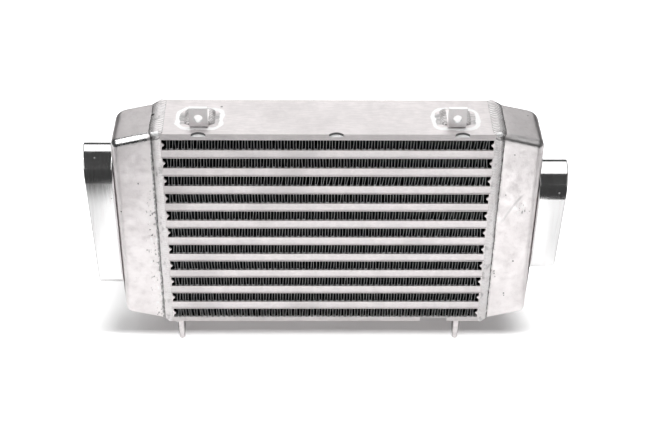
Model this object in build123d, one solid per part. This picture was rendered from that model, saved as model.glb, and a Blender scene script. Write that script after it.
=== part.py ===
from build123d import *
import math
import os

# A bar-and-plate charge-air cooler: a brazed core of fin rows and closed charge
# tubes between two side plates, a cast tank with an oval hose spigot welded to
# each end, two bolt lugs on top and two locating pins underneath.
#
# Frame: X runs along the charge-air path from the tall spigot to the short one,
# Y runs from the cooled front face to the back, Z is up. The origin lies midway
# between the two lug holes, on the front faces of the lugs.

# ------------------------------------------------------------- driving sizes, mm
# Core
FIN_ROWS = 11
FIN_ROW_LENGTH = 260.0
FIN_HEIGHT = 9.4
TUBE_HEIGHT = 7.85
CORE_DEPTH = 50.5
SEPARATOR_SHEET = 0.6
LONG_BAR_WIDTH = 6.0
LONG_BAR_RECESS = 0.4
END_BAR_WIDTH = 4.6
END_BAR_NOSE = 2.2
END_BAR_NOSE_HEIGHT = 4.6
TOP_PLATE = 5.5
BOTTOM_PLATE = 4.5

# Outside fins and the fins inside the tubes
FIN_WAVES = 32
FIN_SHEET = 0.35
FIN_RECESS = 0.5
FIN_NOSE_GAP = 0.4
TURBULATOR_WAVES = 5
TURBULATOR_SHEET = 0.5
TURBULATOR_RECESS = 3.0
TURBULATOR_BAR_GAP = 0.5

# Scallops in the front edge of the top plate, notch in that of the bottom plate.
# An inset is measured along X from the nearer end of the core.
LEFT_SCALLOP_INSET = 33.6
RIGHT_SCALLOP_INSET = 29.6
MIDDLE_SCALLOP_OFFSET = 6.5
SCALLOP_RADIUS = 7.0
SCALLOP_REACH = 3.1
SCALLOP_DEPTH = 2.6
NOTCH_INSET = 30.6
NOTCH_LENGTH = 23.0
NOTCH_DEPTH = 8.0

# Cast tanks
TANK_LENGTH = 35.9
TANK_WALL = 3.0
TANK_STEP = 0.4
TANK_TOP_FALL = 8.8
TANK_BOTTOM_RISE = 9.5
TANK_FRONT_CORNER = 5.6
TANK_REAR_CORNER = 10.0
TANK_EDGE_RADIUS = 4.8
SPIGOT_LENGTH = 23.8
SPIGOT_WIDTH = 42.0
SPIGOT_WALL = 3.0
LEFT_SPIGOT_HEIGHT = 134.0
RIGHT_SPIGOT_HEIGHT = 102.0
# the spigots' ends are cut off square to a line turned forward and down, in degrees
SPIGOT_TURN = 4.6
SPIGOT_DIP = 1.6

# Weld beads between tanks and core
WELD_WIDTH = 7.5
WELD_HEIGHT = 1.3

# Folded lugs and their welds
LUG_INSET = 33.6
LUG_SETBACK = 8.0
LUG_WIDTH = 14.4
LUG_HEIGHT = 18.6
LUG_FOOT = 24.0
LUG_SHEET = 3.0
LUG_BEND = 1.0
LUG_HOLE = 7.0
LUG_HOLE_HEIGHT = 9.2
LUG_WELD_LEG = 5.5
LUG_WELD_GAP = 1.5

# Locating pins
LEFT_PIN_INSET = 10.1
RIGHT_PIN_INSET = 22.0
PIN_SETBACK = 5.0
PIN_DIAMETER = 6.6
PIN_TIP_DIAMETER = 4.6
PIN_LENGTH = 23.0
PIN_STRAIGHT = 9.0
PIN_CHAMFER = 0.9

# How near two places are to count as the same when edges are picked
SAME_PLACE = 0.01

# ------------------------------------------------------------------ worked out
PITCH = FIN_HEIGHT + TUBE_HEIGHT
STACK_HEIGHT = FIN_ROWS * PITCH - TUBE_HEIGHT
TOP_Z = -LUG_HOLE_HEIGHT
STACK_TOP_Z = TOP_Z - TOP_PLATE
STACK_BOTTOM_Z = STACK_TOP_Z - STACK_HEIGHT
BOTTOM_Z = STACK_BOTTOM_Z - BOTTOM_PLATE
FRONT_Y = -LUG_SETBACK
REAR_Y = FRONT_Y + CORE_DEPTH
MIDDLE_Y = FRONT_Y + CORE_DEPTH / 2
CORE_END_X = FIN_ROW_LENGTH / 2 + END_BAR_WIDTH
TANK_END_X = CORE_END_X + TANK_LENGTH
SPIGOT_END_X = TANK_END_X + SPIGOT_LENGTH
LUG_PLACE = CORE_END_X - LUG_INSET
SCALLOP_PLACES = (LEFT_SCALLOP_INSET - CORE_END_X, MIDDLE_SCALLOP_OFFSET,
                  CORE_END_X - RIGHT_SCALLOP_INSET)
SPIGOT_Z = (TOP_Z - TANK_TOP_FALL + BOTTOM_Z + TANK_BOTTOM_RISE) / 2


def block(x0, x1, y0, y1, z0, z1):
    """A box between two corners."""
    centre = Pos((x0 + x1) / 2, (y0 + y1) / 2, (z0 + z1) / 2)
    return centre * Box(x1 - x0, y1 - y0, z1 - z0)


def row_top(row):
    """Height of the upper face of an outside fin row, counted from the top."""
    return STACK_TOP_Z - row * PITCH


# ------------------------------------------------------------------------ core
def wave_outline(length, height, waves, sheet):
    """Outline of a zigzag sheet that fills a slot of this length and height,
    as points from its lower left corner."""
    half = length / (2 * waves)
    slope = (height - sheet) / half
    # vertical thickness that gives the sloping sheet its real thickness
    lift = min(sheet * math.sqrt(1 + slope ** 2), height / 2)
    rise = height - lift
    under = [(i * half, rise * (i % 2)) for i in range(2 * waves + 1)]
    over = [(x, z + lift) for x, z in reversed(under)]
    return under + over


def ambient_fin(row):
    """Outside fin: its waves run along X and its channels from front to back."""
    length = FIN_ROW_LENGTH - 2 * (END_BAR_NOSE + FIN_NOSE_GAP)
    outline = wave_outline(length, FIN_HEIGHT, FIN_WAVES, FIN_SHEET)
    x0 = -length / 2
    z0 = row_top(row) - FIN_HEIGHT
    face = make_face(Polyline(*[(x0 + x, 0, z0 + z) for x, z in outline], close=True))
    depth = CORE_DEPTH - 2 * FIN_RECESS
    return Pos(0, FRONT_Y + FIN_RECESS, 0) * extrude(face, amount=depth, dir=(0, 1, 0))


def charge_tube(row):
    """Two separators brazed to a front and a rear long bar: one flat tube."""
    top = row_top(row) - FIN_HEIGHT
    bottom = top - TUBE_HEIGHT
    body = block(-CORE_END_X, CORE_END_X, FRONT_Y, REAR_Y, bottom, top)
    inner_top = top - SEPARATOR_SHEET
    inner_bottom = bottom + SEPARATOR_SHEET
    passage = block(-CORE_END_X, CORE_END_X, FRONT_Y + LONG_BAR_WIDTH,
                    REAR_Y - LONG_BAR_WIDTH, inner_bottom, inner_top)
    front_recess = block(-CORE_END_X, CORE_END_X, FRONT_Y,
                         FRONT_Y + LONG_BAR_RECESS, inner_bottom, inner_top)
    rear_recess = block(-CORE_END_X, CORE_END_X, REAR_Y - LONG_BAR_RECESS,
                        REAR_Y, inner_bottom, inner_top)
    return body - passage - front_recess - rear_recess


def turbulator(row):
    """Fin inside a charge tube: its channels run along X with the charge air."""
    height = TUBE_HEIGHT - 2 * SEPARATOR_SHEET
    width = CORE_DEPTH - 2 * (LONG_BAR_WIDTH + TURBULATOR_BAR_GAP)
    outline = wave_outline(width, height, TURBULATOR_WAVES, TURBULATOR_SHEET)
    y0 = MIDDLE_Y - width / 2
    z0 = row_top(row) - FIN_HEIGHT - SEPARATOR_SHEET - height
    face = make_face(Polyline(*[(0, y0 + y, z0 + z) for y, z in outline], close=True))
    length = 2 * (CORE_END_X - TURBULATOR_RECESS)
    return Pos(-length / 2, 0, 0) * extrude(face, amount=length, dir=(1, 0, 0))


def end_bar(row, side):
    """Bar that closes one end of a fin row, with a ridge towards the fins."""
    top = row_top(row)
    bottom = top - FIN_HEIGHT
    middle = (top + bottom) / 2
    seat = side * FIN_ROW_LENGTH / 2
    ridge = side * (FIN_ROW_LENGTH / 2 - END_BAR_NOSE)
    outer = side * CORE_END_X
    outline = [(outer, bottom), (outer, top), (seat, top),
               (seat, middle + END_BAR_NOSE_HEIGHT / 2), (ridge, middle),
               (seat, middle - END_BAR_NOSE_HEIGHT / 2), (seat, bottom)]
    face = make_face(Polyline(*[(x, FRONT_Y, z) for x, z in outline], close=True))
    return extrude(face, amount=CORE_DEPTH, dir=(0, 1, 0))


def end_bars(row):
    return Compound(children=[end_bar(row, -1), end_bar(row, 1)])


def top_side_plate():
    """Upper side plate with three shallow round scallops in its front edge."""
    plate = block(-CORE_END_X, CORE_END_X, FRONT_Y, REAR_Y, STACK_TOP_Z, TOP_Z)
    floor = TOP_Z - SCALLOP_DEPTH
    for x in SCALLOP_PLACES:
        cutter = Cylinder(SCALLOP_RADIUS, 2 * SCALLOP_DEPTH,
                          align=(Align.CENTER, Align.CENTER, Align.MIN))
        plate -= Pos(x, FRONT_Y + SCALLOP_REACH - SCALLOP_RADIUS, floor) * cutter
    return plate


def bottom_side_plate():
    """Lower side plate with one rectangular notch in its front edge, as deep as
    the separator sheet that closes the last fin row."""
    plate = block(-CORE_END_X, CORE_END_X, FRONT_Y, REAR_Y, BOTTOM_Z, STACK_BOTTOM_Z)
    notch_end = CORE_END_X - NOTCH_INSET
    notch = block(notch_end - NOTCH_LENGTH, notch_end, FRONT_Y,
                  FRONT_Y + NOTCH_DEPTH, BOTTOM_Z, STACK_BOTTOM_Z - SEPARATOR_SHEET)
    return plate - notch


# ----------------------------------------------------------------------- tanks
def tank_wedge(inset):
    """The tank's tapered form at the +X end with its two upright corners rounded,
    drawn in by inset on each side but the open rim."""
    step = TANK_STEP + inset
    end = TANK_END_X - inset
    profile = [(CORE_END_X, BOTTOM_Z + step),
               (end, BOTTOM_Z + TANK_BOTTOM_RISE + inset),
               (end, TOP_Z - TANK_TOP_FALL - inset),
               (CORE_END_X, TOP_Z - step)]
    face = make_face(Polyline(*[(x, FRONT_Y + step, z) for x, z in profile], close=True))
    wedge = extrude(face, amount=CORE_DEPTH - 2 * step, dir=(0, 1, 0))
    for place, radius in ((-1, TANK_REAR_CORNER), (0, TANK_FRONT_CORNER)):
        corners = [edge for edge in wedge.edges().filter_by(Axis.Z)
                   if abs(edge.center().X - end) < SAME_PLACE]
        corners.sort(key=lambda edge: edge.center().Y)
        wedge = fillet(corners[place], radius - inset)
    return wedge


def tank_form():
    """Outside of the tank: the wedge with its upper and lower edges rounded too."""
    wedge = tank_wedge(0)
    ends = (wedge.faces().sort_by(Axis.Z)[0], wedge.faces().sort_by(Axis.Z)[-1])
    edges = [edge for face in ends for edge in face.edges()
             if edge.center().X > CORE_END_X + SAME_PLACE]
    return fillet(edges, TANK_EDGE_RADIUS)


def oval_bar(height, width, x0, x1):
    """Solid of the spigot's oval section between two places along X."""
    section = Plane.YZ * SlotOverall(height, width, rotation=90)
    return Pos(x0, MIDDLE_Y, SPIGOT_Z) * extrude(section, amount=x1 - x0, dir=(1, 0, 0))


def spigot_offcut(spigot_height):
    """What the oblique cut takes off the end of the spigot's bar."""
    size = 2 * spigot_height
    slab = Box(size, size, size, align=(Align.MIN, Align.CENTER, Align.CENTER))
    return Pos(SPIGOT_END_X, MIDDLE_Y, SPIGOT_Z) * Rot(0, SPIGOT_DIP, -SPIGOT_TURN) * slab


def tank_plus_x(spigot_height):
    """Hollow casting, open to the core, with its spigot, at the +X end."""
    root = TANK_END_X - TANK_WALL
    bar_end = SPIGOT_END_X + SPIGOT_LENGTH / 2
    outside = tank_form() + oval_bar(spigot_height, SPIGOT_WIDTH, root, bar_end)
    bore = oval_bar(spigot_height - 2 * SPIGOT_WALL, SPIGOT_WIDTH - 2 * SPIGOT_WALL,
                    root - SPIGOT_WALL, bar_end)
    return outside - spigot_offcut(spigot_height) - tank_wedge(TANK_WALL) - bore


def left_tank():
    return mirror(tank_plus_x(LEFT_SPIGOT_HEIGHT), about=Plane.YZ)


def right_tank():
    return tank_plus_x(RIGHT_SPIGOT_HEIGHT)


def right_tank_weld():
    """Raised bead round the joint of the core and the right tank."""
    toe = WELD_WIDTH / 2
    crown = WELD_WIDTH / 4
    sections = []
    for x, proud in ((-toe, 0), (-crown, WELD_HEIGHT), (crown, WELD_HEIGHT), (toe, 0)):
        section = Plane.YZ * Rectangle(CORE_DEPTH + 2 * proud, TOP_Z - BOTTOM_Z + 2 * proud)
        sections.append(Pos(CORE_END_X + x, MIDDLE_Y, (TOP_Z + BOTTOM_Z) / 2) * section)
    bead = loft(sections, ruled=True)
    core = block(0, CORE_END_X, FRONT_Y, REAR_Y, BOTTOM_Z, TOP_Z)
    return bead - core - tank_form()


# ------------------------------------------------------------- lugs and pins
def lug(place):
    """Folded lug: an upright tab with its bolt hole, and a foot behind it."""
    outline = [(0, TOP_Z), (0, TOP_Z + LUG_HEIGHT), (LUG_SHEET, TOP_Z + LUG_HEIGHT),
               (LUG_SHEET, TOP_Z + LUG_SHEET), (LUG_FOOT, TOP_Z + LUG_SHEET), (LUG_FOOT, TOP_Z)]
    x0 = place - LUG_WIDTH / 2
    face = make_face(Polyline(*[(x0, y, z) for y, z in outline], close=True))
    angle = extrude(face, amount=LUG_WIDTH, dir=(1, 0, 0))
    for y, height, radius in ((0, 0, LUG_BEND + LUG_SHEET), (LUG_SHEET, LUG_SHEET, LUG_BEND)):
        corner = Vector(place, y, TOP_Z + height)
        bend = [edge for edge in angle.edges().filter_by(Axis.X)
                if (edge.center() - corner).length < SAME_PLACE]
        angle = fillet(bend, radius)
    hole = Rot(90, 0, 0) * Cylinder(LUG_HOLE / 2, 4 * LUG_SHEET)
    return angle - Pos(place, 0, 0) * hole


def lug_weld(place):
    """Fillet bead along both sides and the end of the foot."""
    start = LUG_BEND + LUG_SHEET + LUG_WELD_GAP
    end = LUG_FOOT + LUG_WELD_LEG
    crest = TOP_Z + LUG_SHEET
    left = place - LUG_WIDTH / 2
    right = place + LUG_WIDTH / 2
    across = [(left - LUG_WELD_LEG, start, TOP_Z), (left, start, crest),
              (right, start, crest), (right + LUG_WELD_LEG, start, TOP_Z)]
    along = [(left - LUG_WELD_LEG, start, TOP_Z), (left - LUG_WELD_LEG, start, crest),
             (left - LUG_WELD_LEG, LUG_FOOT, crest), (left - LUG_WELD_LEG, end, TOP_Z)]
    ridge = extrude(make_face(Polyline(*across, close=True)), amount=end - start, dir=(0, 1, 0))
    slope = extrude(make_face(Polyline(*along, close=True)),
                    amount=LUG_WIDTH + 2 * LUG_WELD_LEG, dir=(1, 0, 0))
    return (ridge & slope) - block(left, right, 0, LUG_FOOT, TOP_Z, crest)


def pin(place):
    """Locating pin under the bottom plate: straight at its root, then tapered."""
    root = PIN_DIAMETER / 2
    tip = PIN_TIP_DIAMETER / 2
    outline = [(0, 0, 0), (root, 0, 0), (root, 0, -PIN_STRAIGHT),
               (tip, 0, PIN_CHAMFER - PIN_LENGTH), (tip - PIN_CHAMFER, 0, -PIN_LENGTH),
               (0, 0, -PIN_LENGTH)]
    shaft = revolve(make_face(Polyline(*outline, close=True)), axis=Axis.Z)
    return Pos(place, FRONT_Y + PIN_SETBACK, BOTTOM_Z) * shaft


def locating_pins():
    return Compound(children=[pin(LEFT_PIN_INSET - CORE_END_X),
                              pin(CORE_END_X - RIGHT_PIN_INSET)])


# -------------------------------------------------------------------- assembly
def all_nodes():
    nodes = {"top_side_plate": top_side_plate(), "bottom_side_plate": bottom_side_plate()}
    for row in range(FIN_ROWS):
        number = f"{row + 1:02d}"
        nodes["ambient_fin_" + number] = ambient_fin(row)
        nodes["end_bars_" + number] = end_bars(row)
        if row < FIN_ROWS - 1:
            nodes["charge_tube_" + number] = charge_tube(row)
            nodes["turbulator_" + number] = turbulator(row)
    nodes["left_tank"] = left_tank()
    nodes["right_tank"] = right_tank()
    nodes["right_tank_weld"] = right_tank_weld()
    nodes["left_tank_weld"] = mirror(right_tank_weld(), about=Plane.YZ)
    for name, place in (("left", -LUG_PLACE), ("right", LUG_PLACE)):
        nodes[name + "_lug"] = lug(place)
        nodes[name + "_lug_weld"] = lug_weld(place)
    nodes["locating_pins"] = locating_pins()
    return nodes


os.makedirs("parts", exist_ok=True)
for node, shape in all_nodes().items():
    export_step(shape, f"parts/{node}.step")
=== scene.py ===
import math
import random

import bmesh
import bpy
from mathutils import Matrix, Vector, noise


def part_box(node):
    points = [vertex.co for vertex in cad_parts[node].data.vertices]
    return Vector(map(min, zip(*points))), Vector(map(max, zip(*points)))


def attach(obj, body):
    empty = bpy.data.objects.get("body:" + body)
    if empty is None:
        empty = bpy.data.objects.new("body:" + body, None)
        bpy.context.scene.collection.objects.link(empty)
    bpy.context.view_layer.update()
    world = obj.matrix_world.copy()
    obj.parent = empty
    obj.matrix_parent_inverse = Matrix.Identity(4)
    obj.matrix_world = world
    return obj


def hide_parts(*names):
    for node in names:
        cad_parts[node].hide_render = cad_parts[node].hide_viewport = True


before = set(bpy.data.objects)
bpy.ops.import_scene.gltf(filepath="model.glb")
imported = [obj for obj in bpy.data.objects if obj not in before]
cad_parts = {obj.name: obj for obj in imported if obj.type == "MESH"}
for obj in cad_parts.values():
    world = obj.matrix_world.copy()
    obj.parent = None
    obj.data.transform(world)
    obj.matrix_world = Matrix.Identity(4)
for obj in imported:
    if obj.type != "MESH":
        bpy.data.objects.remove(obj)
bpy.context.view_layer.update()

MM = 0.001
random.seed(7)

# ---- sizes, in mm, in the part's frame
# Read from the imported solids
PLATE_LOW, PLATE_HIGH = (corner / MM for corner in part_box("top_side_plate"))
CORE_END = PLATE_HIGH.x
FRONT = PLATE_LOW.y
REAR = PLATE_HIGH.y
TOP = PLATE_HIGH.z
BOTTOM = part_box("bottom_side_plate")[0].z / MM
WELD_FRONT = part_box("left_tank_weld")[0].y / MM
PINS_LOW, PINS_HIGH = (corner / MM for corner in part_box("locating_pins"))
PIN_TIP = PINS_LOW.z
PIN_RADIUS = 3.3
PIN_PLACES = (PINS_LOW.x + PIN_RADIUS, PINS_HIGH.x - PIN_RADIUS)
LUG_LOW, LUG_HIGH = (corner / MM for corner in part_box("right_lug"))
LUG_WELD_LOW, LUG_WELD_HIGH = (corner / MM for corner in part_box("right_lug_weld"))
LUG_PLACE = (LUG_LOW.x + LUG_HIGH.x) / 2
LUG_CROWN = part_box("left_lug")[1].z / MM
MIDDLE = (FRONT + REAR) / 2
CENTRE = Vector((0, MIDDLE, (TOP + BOTTOM) / 2))

# The cast tanks, as the part's source gives them
TANK_LENGTH = 35.9
TANK_END = CORE_END + TANK_LENGTH
SPIGOT_LENGTH = 23.8
SPIGOT_END = TANK_END + SPIGOT_LENGTH
SPIGOT_TURN = math.radians(4.6)
SPIGOT_DIP = math.radians(1.6)
TANK_WALL = 3.0
TANK_STEP = 0.4
TANK_TOP_FALL = 8.8
TANK_BOTTOM_RISE = 9.5
FRONT_CORNER = 5.6
REAR_CORNER = 10.0
EDGE_RADIUS = 4.8
SPIGOT_WIDTH = 42.0
SPIGOT_WALL = 3.0
SPIGOT_HEIGHTS = {"left": 134.0, "right": 102.0}
SPIGOT_Z = (TOP - TANK_TOP_FALL + BOTTOM + TANK_BOTTOM_RISE) / 2
SPIGOT_ROOT_RADIUS = 1.6
RIM_BEVEL = 0.5
TOP_SLOPE = (TANK_TOP_FALL - TANK_STEP) / TANK_LENGTH

# Fins: square-crested waves of thin sheet
STACK_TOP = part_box("ambient_fin_01")[1].z / MM
FIN_HEIGHT = STACK_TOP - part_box("ambient_fin_01")[0].z / MM
ROW_PITCH = STACK_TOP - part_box("ambient_fin_02")[1].z / MM
WAVES = 54
FIN_SHEET = 0.34
CREST_RADIUS = 0.75
CREST_STEPS = 3
WALL_LEAN = 0.34
FIN_STATIONS = 5

# Lean of the fin waves' heads at the left end, middle and right end of each row
ROW_LEANS = ((0.1, 0.1, 0.7), (0.1, 0.0, 0.4), (0.0, 1.1, 1.0), (-0.8, 0.0, 0.1),
             (0.1, 0.3, 1.0), (0.1, 0.2, 0.5), (0.1, 0.4, 0.6), (-0.5, 0.1, 0.6),
             (0.0, 0.4, 0.5), (0.1, 0.1, 0.3), (-0.8, 0.2, 0.4))

# Tank beads: half width and its growth on top; pitch, height and darkness (soot and
# painted shade in the roots) of the stacked ripples; depth in the core
WELD_HALF_WIDTH = 3.75
WELD_TOP_SPREAD = 1.9
RIPPLE_PITCHES = {"left": 2.3, "right": 1.5}
RIPPLE_HEIGHTS = {"left": 0.12, "right": 0.24}
RIPPLE_DARKNESS = {"left": 0.1, "right": 0.4}
TOP_RIPPLE_PITCH = 2.4
TOP_RIPPLE_DARKNESS = {"left": 0.55, "right": 0.75}
WELD_BURIED = 1.2

# Edges sharper than the first angle are bevelled, and sharper than the second shaded sharp
SHARP_ANGLE = math.radians(30)
CREASE_ANGLE = math.radians(42)
FLAT_ANGLE = math.radians(0.5)
JOIN_DISTANCE = 0.002
LEAST_RADIUS = 0.02


# ---- meshes
def clamp(value):
    """The value held between 0 and 1."""
    return min(max(value, 0.0), 1.0)


def to_side(side, points):
    """Points of the +X end, moved to the end that the side names."""
    sign = -1 if side == "left" else 1
    return [Vector((sign * point.x, point.y, point.z)) for point in points]


def new_piece(name, mesh, material, nodes=()):
    """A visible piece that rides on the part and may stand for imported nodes."""
    piece = bpy.data.objects.new(name, mesh)
    bpy.context.scene.collection.objects.link(piece)
    mesh.materials.clear()
    mesh.materials.append(material)
    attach(piece, "root")
    if nodes:
        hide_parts(*nodes)


def finish_mesh(name, work):
    """Mesh with smooth shading that keeps the sharp edges."""
    bmesh.ops.recalc_face_normals(work, faces=work.faces)
    for face in work.faces:
        face.smooth = True
    for edge in work.edges:
        if len(edge.link_faces) == 2 and edge.calc_face_angle(0) > CREASE_ANGLE:
            edge.smooth = False
    mesh = bpy.data.meshes.new(name)
    work.to_mesh(mesh)
    work.free()
    return mesh


def edged_copy(node, bevel):
    """The node's own form, with its sawn edges slightly rounded."""
    work = bmesh.new()
    work.from_mesh(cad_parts[node].data)
    bmesh.ops.remove_doubles(work, verts=work.verts, dist=JOIN_DISTANCE * MM)
    bmesh.ops.dissolve_limit(work, angle_limit=FLAT_ANGLE, verts=work.verts, edges=work.edges)
    sharp = [edge for edge in work.edges
             if len(edge.link_faces) == 2 and edge.calc_face_angle(0) > SHARP_ANGLE]
    bmesh.ops.bevel(work, geom=sharp, offset=bevel * MM, segments=2, profile=0.6,
                    affect="EDGES", clamp_overlap=True)
    mesh = finish_mesh(node + "_shape", work)
    # normals weighted by area keep the flat faces flat beside their rounded edges
    normals = [Vector() for _ in mesh.vertices]
    for face in mesh.polygons:
        for index in face.vertices:
            normals[index] += face.normal * face.area
    mesh.normals_split_custom_set_from_vertices([normal.normalized() for normal in normals])
    return mesh


def set_soot_and_shade(mesh, values):
    """Stores how dark each vertex is, 0 to 1, for the weld material."""
    soot = mesh.attributes.new("soot", "FLOAT", "POINT")
    for item, value in zip(soot.data, values):
        item.value = clamp(value)


def join_rings(work, ring, after):
    """Band of faces between two rings of equally many vertices."""
    for j in range(len(ring)):
        k = (j + 1) % len(ring)
        work.faces.new((ring[j], ring[k], after[k], after[j]))


def mesh_of_loops(name, loops, closed=True):
    """Skin over loops of equally many points; closed joins the last to the first."""
    work = bmesh.new()
    rings = [[work.verts.new(Vector(point) * MM) for point in loop] for loop in loops]
    for ring, after in zip(rings, rings[1:]):
        join_rings(work, ring, after)
    if closed:
        join_rings(work, rings[-1], rings[0])
    else:
        work.faces.new(rings[0])
        work.faces.new(rings[-1])
    return finish_mesh(name, work)


def arc(x, y, z, radius, start, sweep, steps):
    """Points at x round (y, z), clockwise from an angle through a sweep, in degrees."""
    turns = [math.radians(start - sweep * i / steps) for i in range(steps + 1)]
    return [Vector((x, y + radius * math.cos(turn), z + radius * math.sin(turn))) for turn in turns]


def side_points(start, end, steps):
    """Points strictly between two corners of a loop."""
    return [start + (end - start) * (i / steps) for i in range(1, steps)]


def rounded_loop(x, low, high, radius, arc_steps, across_steps, up_steps):
    """Rounded rectangle at x, between two (y, z) corners, from the upper front arc."""
    radius = max(min(radius, (high[0] - low[0]) / 2, (high[1] - low[1]) / 2), LEAST_RADIUS)
    front, rear = low[0] + radius, high[0] - radius
    bottom, top = low[1] + radius, high[1] - radius
    corners = ((front, top, 180), (rear, top, 90), (rear, bottom, 0), (front, bottom, -90))
    arcs = [arc(x, y, z, radius, start, 90, arc_steps) for y, z, start in corners]
    loop = []
    for i, corner in enumerate(arcs):
        steps = across_steps if i % 2 == 0 else up_steps
        loop += corner + side_points(corner[-1], arcs[(i + 1) % 4][0], steps)
    return loop


def oval_loop(x, width, height, arc_steps, across_steps, up_steps):
    """Spigot section at x with as many points as a rounded loop."""
    radius = width / 2
    straight = height / 2 - radius
    steps = 2 * arc_steps + across_steps
    over = arc(x, MIDDLE, SPIGOT_Z + straight, radius, 180, 180, steps)
    under = arc(x, MIDDLE, SPIGOT_Z - straight, radius, 0, 180, steps)
    return (over + side_points(over[-1], under[0], up_steps)
            + under + side_points(under[-1], over[0], up_steps))


# ---- tanks
# Steps round a corner, across and up a loop; then along the sides and round the end
TANK_STEPS = (7, 24, 88)
SKIN_STEPS = (16, 12)
CAVITY_STEPS = (6, 8)
WALL_STEPS = 5
INNER_WALL_STEPS = 4
ROOT_STEPS = 4
BORE_STEPS = 8
# Places along the pipe; those near its ends keep the bevels' shading off it
PIPE_SHARES = (0.02, 0.2, 0.4, 0.6, 0.8, 0.98, 1.0)


def inset_of(x, end, radius):
    """How far an end corner of this radius has drawn in at x."""
    reach = min(max(x - (end - radius), 0.0), radius)
    return radius - math.sqrt(radius ** 2 - reach ** 2)


def tank_section(x, wall):
    """Loop of the outer skin, or of the cavity when wall isn't zero."""
    end = TANK_END - wall
    along = (x - CORE_END) / (TANK_END - CORE_END)
    step = TANK_STEP + wall
    edge = inset_of(x, end, EDGE_RADIUS - wall / 2)
    top = TOP - TANK_STEP - (TANK_TOP_FALL - TANK_STEP) * along - wall - edge
    bottom = BOTTOM + TANK_STEP + (TANK_BOTTOM_RISE - TANK_STEP) * along + wall + edge
    front = FRONT + step + inset_of(x, end, FRONT_CORNER - wall)
    rear = REAR - step - inset_of(x, end, REAR_CORNER - wall)
    radius = EDGE_RADIUS - edge - wall / 2
    return rounded_loop(x, (front, bottom), (rear, top), radius, *TANK_STEPS)


def blend_loops(first, last, steps):
    """Loops between two others, without the two themselves."""
    return [[a.lerp(b, i / steps) for a, b in zip(first, last)] for i in range(1, steps)]


def stations(start, end, straight, bend, radius):
    """Places along X, closer together round the end corner."""
    flat = end - radius
    places = [start + (flat - start) * i / straight for i in range(straight)]
    return places + [flat + radius * math.sin(math.radians(90) * i / bend) for i in range(bend + 1)]


def slanted(loop):
    """Shears a spigot's loop, so that its end is cut as aslant as the part's."""
    moved = []
    for point in loop:
        share = max((point.x - TANK_END) / SPIGOT_LENGTH, 0.0)
        slant = (math.tan(SPIGOT_TURN) * (point.y - MIDDLE)
                 + math.tan(SPIGOT_DIP) * (point.z - SPIGOT_Z))
        moved.append(point + Vector((share * slant, 0, 0)))
    return moved


def cast_loop(loop):
    """A loop of the skin, drawn in by the unevenness of the casting."""
    middle = sum(loop, Vector()) / len(loop)
    ring = []
    for point in loop:
        out = Vector((0, point.y - middle.y, point.z - middle.z)).normalized()
        slow = noise.noise(point * 0.035)
        quick = noise.noise(point * 0.11 + Vector((9, 4, 2)))
        ring.append(point - out * abs(0.22 * slow + 0.07 * quick))
    return ring


def spigot_loops(height):
    """Loops of a spigot: root, pipe, rim and bore."""
    def oval(x, grow):
        return oval_loop(x, SPIGOT_WIDTH + 2 * grow, height + 2 * grow, *TANK_STEPS)

    root = []
    for i in range(ROOT_STEPS + 1):
        turn = math.radians(90) * i / ROOT_STEPS
        grow = SPIGOT_ROOT_RADIUS * (1 - math.sin(turn))
        root.append(oval(TANK_END + SPIGOT_ROOT_RADIUS * (1 - math.cos(turn)), grow))
    start = TANK_END + SPIGOT_ROOT_RADIUS
    end = SPIGOT_END - RIM_BEVEL
    pipe = [oval(start + (end - start) * share, 0) for share in PIPE_SHARES]
    rim = [oval(SPIGOT_END - RIM_BEVEL * 0.3, -RIM_BEVEL * 0.3), oval(SPIGOT_END, -RIM_BEVEL),
           oval(SPIGOT_END, RIM_BEVEL - SPIGOT_WALL), oval(end, -SPIGOT_WALL)]
    run = end - (TANK_END - TANK_WALL)
    bore = [oval(end - run * i / BORE_STEPS, -SPIGOT_WALL) for i in range(1, BORE_STEPS + 1)]
    return root + pipe + rim + bore


def tank_loops(height):
    """Loops of a whole tank at the +X end."""
    places = stations(CORE_END, TANK_END, *SKIN_STEPS, REAR_CORNER)
    skin = [cast_loop(tank_section(x, 0.0)) for x in places]
    spigot = spigot_loops(height)
    places = stations(CORE_END, TANK_END - TANK_WALL, *CAVITY_STEPS, REAR_CORNER - TANK_WALL)
    cavity = [tank_section(x, TANK_WALL) for x in reversed(places)]
    wall = blend_loops(skin[-1], spigot[0], WALL_STEPS)
    inner_wall = blend_loops(spigot[-1], cavity[0], INNER_WALL_STEPS)
    return [slanted(loop) for loop in skin + wall + spigot + inner_wall + cavity]


def build_tank(side, material):
    loops = [to_side(side, loop) for loop in tank_loops(SPIGOT_HEIGHTS[side])]
    mesh = mesh_of_loops(side + "_tank_shape", loops)
    new_piece(side + "_cast_tank", mesh, material, [side + "_tank"])


# ---- weld beads
BEAD_ROWS = 15
BEAD_STEPS = (4, 116, 660)
BEAD_CORNER = 0.8
# The ring of soot and painted shade round the drop, below it, at a bead's upper front corner
DROP_PLACE = Vector((CORE_END - 0.4, FRONT, TOP))
DROP_RADIUS = 4.4

LUG_BEAD_STEP = 0.4
LUG_BEAD_TURNS = 16
LUG_BEAD_ROWS = 9
LUG_BEAD_BURIED = 0.4
LUG_RIPPLE_PITCH = 2.2


def wave_at(*place):
    """Smooth noise, -1 to 1, at three numbers."""
    return noise.noise(Vector(place))


def ripple(travel, across, seed, pitch):
    """Height of the stacked ripples, 0 to 1, at a place along and across a bead."""
    wander = 0.7 * wave_at(travel * 0.06, seed, 0.0)
    phase = (travel / pitch + 0.55 * across ** 2 + wander) % 1.0
    return (1.0 - phase) ** 0.8 * min(phase * 5.0, 1.0)


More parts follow.
